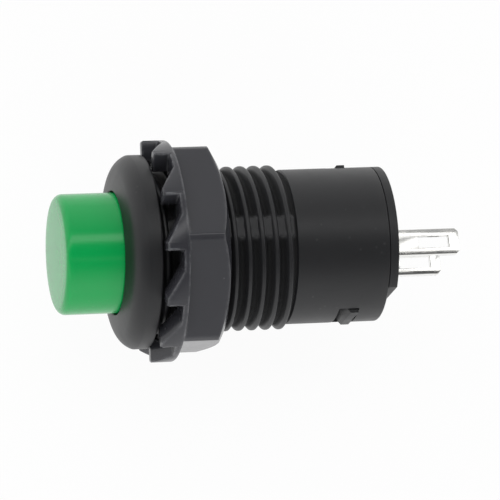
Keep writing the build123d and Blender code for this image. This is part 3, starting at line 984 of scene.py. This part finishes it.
def make_nut_sector():
    """One sixth of the nut: two spring fingers and one corner of the hexagon."""
    line, inward = finger_line()
    rim, edge = CROWN_RIM, FLANGE_EDGE
    steep_turn = NUT_TURN + FINGER_LEAD

    def crown_row(radius, offset, on_floor=True):
        """One row of the crown over both fingers, moved inward by offset."""
        rows = []
        for finger in (0, 1):
            shifted = line + inward * offset
            height = np.maximum(shifted[:, 1], 0.0) if on_floor else shifted[:, 1]
            along = np.arcsin(shifted[:, 0] / radius)
            turn = steep_turn - FINGER_STEP * (1 - finger) + along
            # the root starts at the foot of the finger before
            first = steep_turn - FINGER_STEP * (2 - finger)
            turn[0] = first - (0.0 if offset == 0 else 0.7 * offset / radius)
            rows.append(ring(turn, FINGER_ROOT - height, radius))
        return np.concatenate(rows)

    # inner wall of the crown and its rounded rims, from the bore outwards
    inner_top = crown_row(CROWN_INSIDE, rim)
    turns_inside = np.unwrap(np.arctan2(inner_top[:, 0], inner_top[:, 2]))
    outer_top = crown_row(CROWN_RADIUS, rim, False)
    rows = [
        ring(turns_inside, FINGER_ROOT, NUT_MOUTH),
        ring(turns_inside, FINGER_ROOT, CROWN_INSIDE),
        inner_top,
        crown_row(CROWN_INSIDE + 0.3 * rim, 0.3 * rim),
        crown_row(CROWN_INSIDE + rim, 0.0),
        crown_row(0.5 * (CROWN_INSIDE + CROWN_RADIUS), 0.0),
        crown_row(CROWN_RADIUS - rim, 0.0, False),
        crown_row(CROWN_RADIUS - 0.3 * rim, 0.3 * rim, False),
        outer_top,
    ]

    # spread the columns evenly over the hexagon, with one on its corner
    turn_out = np.unwrap(np.arctan2(outer_top[:, 0], outer_top[:, 2]))
    climb = np.diff(outer_top[:, 1]) * 0.25
    stride = np.hypot(np.diff(turn_out) * CROWN_RADIUS, climb) + 1e-6
    weight = np.r_[0, np.cumsum(stride)]
    corner_column = int(np.argmin(abs(turn_out - NUT_TURN)))
    anchors = [0, corner_column, len(weight) - 1]
    corner_turns = [steep_turn - 2 * FINGER_STEP, NUT_TURN, steep_turn]
    hex_turn = np.interp(weight, weight[anchors], corner_turns)
    rows.append(ring((turn_out + hex_turn) / 2, HEX_FRONT - 2 * edge, CROWN_RADIUS))

    # flange, flat and turned cone, at each column
    hex_r = hex_radius(hex_turn, NUT_TURN)
    cone_start = HEX_FLATS / math.cos(math.radians(30))
    corner_y = NUT_END - CONE_LENGTH * (hex_r - CONE_RADIUS) / (cone_start - CONE_RADIUS)
    sections = []
    for radius, chamfer_y in zip(hex_r, corner_y):
        corners = [
            (HEX_FRONT - edge, CROWN_RADIUS, 0),
            (HEX_FRONT - 0.3 * edge, CROWN_RADIUS - 0.3 * edge, 0),
            (HEX_FRONT, max(CROWN_RADIUS - edge, radius + 1e-6), 0),
            (HEX_FRONT + 0.003 * MM, radius, 0.15 * MM),
            (chamfer_y, radius, 0.12 * MM),
            (NUT_END, CONE_RADIUS, 0.10 * MM),
            (NUT_END, NUT_MOUTH, 0),
        ]
        sections.append(rounded(corners, 4))
    sections = np.array(sections)
    rows += [ring(hex_turn, *sections[:, index].T) for index in range(sections.shape[1])]
    rows.append(ring(hex_turn, 0.5 * (FINGER_ROOT + NUT_END), NUT_MOUTH + 0.1 * MM))
    rows.append(ring(turns_inside, FINGER_ROOT + 0.4 * MM, NUT_MOUTH + 0.1 * MM))
    faces = grid_faces(len(rows), len(rows[0]), False, True)
    return plain_mesh("nut_sector", np.concatenate(rows), faces)


def make_nut(repeat, thread):
    """Hexagon nut with its crown of spring fingers, and the thread in its bore."""
    piece = bake_nodes("nut_moulding", repeat, {"Count": 6}, BLACK_NUT, make_nut_sector())
    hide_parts("nut")
    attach(piece, "nut")
    values = {
        "Start": FINGER_ROOT,
        "End": NUT_END,
        "Crest Radius": NUT_BORE,
        "Root Radius": NUT_GROOVE,
        "Back Radius": NUT_GROOVE + 0.06 * MM,
        "Runout": 0.3 * MM,
        "Strip Half Width": -1.0 * MM,
        "Rows": 84,
    }
    piece = bake_nodes("nut_thread", thread, values, BLACK_NUT)
    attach(piece, "nut")


# ---------------------------------------------------------------- nodes that stay as they are


def dress_nodes():
    """Finishes of the CAD nodes that keep their own shape."""
    finishes = {
        "plunger": NYLON,
        "contact_ring": BRASS,
        "fixed_contact_upper": SILVER,
        "fixed_contact_lower": SILVER,
    }
    for name, material in finishes.items():
        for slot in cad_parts[name].material_slots:
            slot.material = material


# ---------------------------------------------------------------- studio


# Brightness of the room by turn round the barrel's axis, in degrees
ROOM = [
    (-150, 0.7),
    (-95, 0.75),
    (-75, 0.9),
    (-45, 0.55),
    (-25, 0.2),
    (-22, 0.2),
    (-20, 2.2),
    (-8, 2.2),
    (-6, 0.1),
    (18, 0.06),
    (22, 0.05),
    (24, 0.6),
    (27, 0.6),
    (29, 0.08),
    (45, 0.2),
    (70, 0.8),
    (90, 1.1),
    (150, 1.1),
]
# The white end walls fade out towards this turn, between these angles from it, in radians
FADE_TURN = math.radians(15)
FADE_REACH = (0.6, 1.25)

FLOOR_GAP = 0.02 * MM
FLOOR_HALF = 3.0
FLOOR_GREY = 0.90
FLOOR_WHITENING = 0.95

# Lamps by name: way from the switch, size and power
LAMP_DISTANCE = 0.35
LAMPS = {
    "upper_softbox": ((-0.72, -0.30, 0.60), 0.34, 0.46),
    "side_softbox": ((0.90, -0.10, 0.42), 0.30, 0.56),
}

CAMERA_WAY = (0.252, -0.225, 0.941)
CAMERA_UP = (-0.966, 0.0, 0.259)
CAMERA_TIP = math.radians(2.0)
CAMERA_LENS = 400
# The camera aims this far from the middle, across the barrel and along it
AIM_ASIDE = 0.14 * MM
AIM_BACK = 0.24 * MM
# Width of the picture: the length that is seen, over the share of the picture that it fills
PICTURE_WIDTH = 0.0293 / 0.81


def make_floor():
    """Plain pale floor under the nut's crown, lifted a little towards white for the camera."""
    low, far = nut_low.z - FLOOR_GAP, FLOOR_HALF
    corners = [(-far, -far, low), (far, -far, low), (far, far, low), (-far, far, low)]
    floor = linked("floor", plain_mesh("floor", corners, [(0, 1, 2, 3)]))
    material, kit, shader = blank_material("pale_floor")
    kit.put(shader["Base Color"], (FLOOR_GREY, FLOOR_GREY, FLOOR_GREY, 1))
    kit.put(shader["Roughness"], 0.6)
    kit.put(shader["Specular IOR Level"], 0.2)
    glow = kit.node("ShaderNodeEmission")
    glow.inputs["Color"].default_value = (1, 1, 1, 1)
    glow.inputs["Strength"].default_value = 1.0
    rays = kit.node("ShaderNodeLightPath")
    seen = kit.math("MAXIMUM", rays.outputs["Is Camera Ray"], rays.outputs["Is Glossy Ray"])
    seen = kit.math("MAXIMUM", seen, rays.outputs["Is Transmission Ray"])
    mixer = kit.node("ShaderNodeMixShader")
    kit.put(mixer.inputs[0], kit.math("MULTIPLY", seen, FLOOR_WHITENING))
    kit.put(mixer.inputs[1], kit.tree.nodes["Principled BSDF"].outputs[0])
    kit.put(mixer.inputs[2], glow.outputs[0])
    kit.put(kit.tree.nodes["Material Output"].inputs["Surface"], mixer.outputs[0])
    floor.data.materials.append(material)


def aimed(name, data, place, facing):
    """Lamp or camera in its place, turned by a quaternion."""
    holder = linked(name, data)
    holder.location = place
    holder.rotation_mode = "QUATERNION"
    holder.rotation_quaternion = facing
    return holder


def make_lamps(middle):
    """Soft square lamps that face the switch."""
    for name, (way, size, power) in LAMPS.items():
        lamp = bpy.data.lights.new(name, "AREA")
        lamp.shape = "RECTANGLE"
        lamp.size, lamp.size_y = size, size
        lamp.energy = power
        place = middle + Vector(way) * LAMP_DISTANCE
        holder = aimed(name, lamp, place, (middle - place).to_track_quat("-Z", "Y"))
        holder.visible_glossy = False


def make_world():
    """Room as the turned surfaces mirror it, and plain white behind the floor."""
    world = bpy.data.worlds.new("studio")
    world.use_nodes = True
    kit = Tree(world.node_tree)
    way = kit.split(kit.node("ShaderNodeTexCoord").outputs["Generated"])
    turn = kit.math("ARCTAN2", way["X"], way["Z"])
    ramp = kit.node("ShaderNodeValToRGB")
    kit.put(ramp.inputs[0], kit.span(turn, -math.pi, math.pi))
    for degrees, brightness in ROOM:
        stop = ramp.color_ramp.elements.new(degrees / 360 + 0.5)
        stop.color = (brightness, brightness, brightness, 1)
    # white walls at both ends of the axis
    ends = kit.span(kit.math("ABSOLUTE", way["Y"]), 0.45, 0.9, smooth=True)
    sideways = kit.math("ABSOLUTE", kit.math("SUBTRACT", turn, FADE_TURN))
    ends = kit.math("MULTIPLY", ends, kit.span(sideways, *FADE_REACH, smooth=True))
    walls = kit.mix_colour(ends, ramp.outputs[0], (1, 1, 1, 1))
    rays = kit.node("ShaderNodeLightPath")
    back = world.node_tree.nodes["Background"].inputs
    kit.put(back["Color"], kit.mix_colour(rays.outputs["Is Camera Ray"], walls, (1, 1, 1, 1)))
    kit.put(back["Strength"], 1.0)
    bpy.context.scene.world = world


def make_camera(middle):
    """Long lens, with the barrel lying nearly level in the picture and the cap at the left."""
    camera_data = bpy.data.cameras.new("camera")
    camera_data.lens = CAMERA_LENS
    camera_data.clip_start, camera_data.clip_end = 0.005, 10
    towards = Vector(CAMERA_WAY).normalized()
    side = Vector(CAMERA_UP).cross(towards).normalized()
    over = towards.cross(side).normalized()
    right = side * math.cos(CAMERA_TIP) - over * math.sin(CAMERA_TIP)
    over = towards.cross(right).normalized()
    facing = Matrix((right, over, towards)).transposed().to_quaternion()
    half_angle = math.atan(camera_data.sensor_width / 2 / camera_data.lens)
    reach = PICTURE_WIDTH / 2 / math.tan(half_angle)
    place = Vector((AIM_ASIDE, middle.y - AIM_BACK, 0)) + towards * reach
    bpy.context.scene.camera = aimed("camera", camera_data, place, facing)


def make_studio():
    """World, lamps, camera and view setting."""
    middle = Vector((0, 0.5 * (cad_box[0][1] + cad_box[1][1]), 0))
    make_world()
    make_lamps(middle)
    make_camera(middle)
    bpy.context.scene.view_settings.view_transform = "Standard"


threads = thread_tree()
make_housing()
make_housing_thread(threads)
make_base()
make_terminals()
make_cap()
make_springs(coil_tree())
make_nut(repeat_tree(), threads)
dress_nodes()
make_floor()
make_studio()
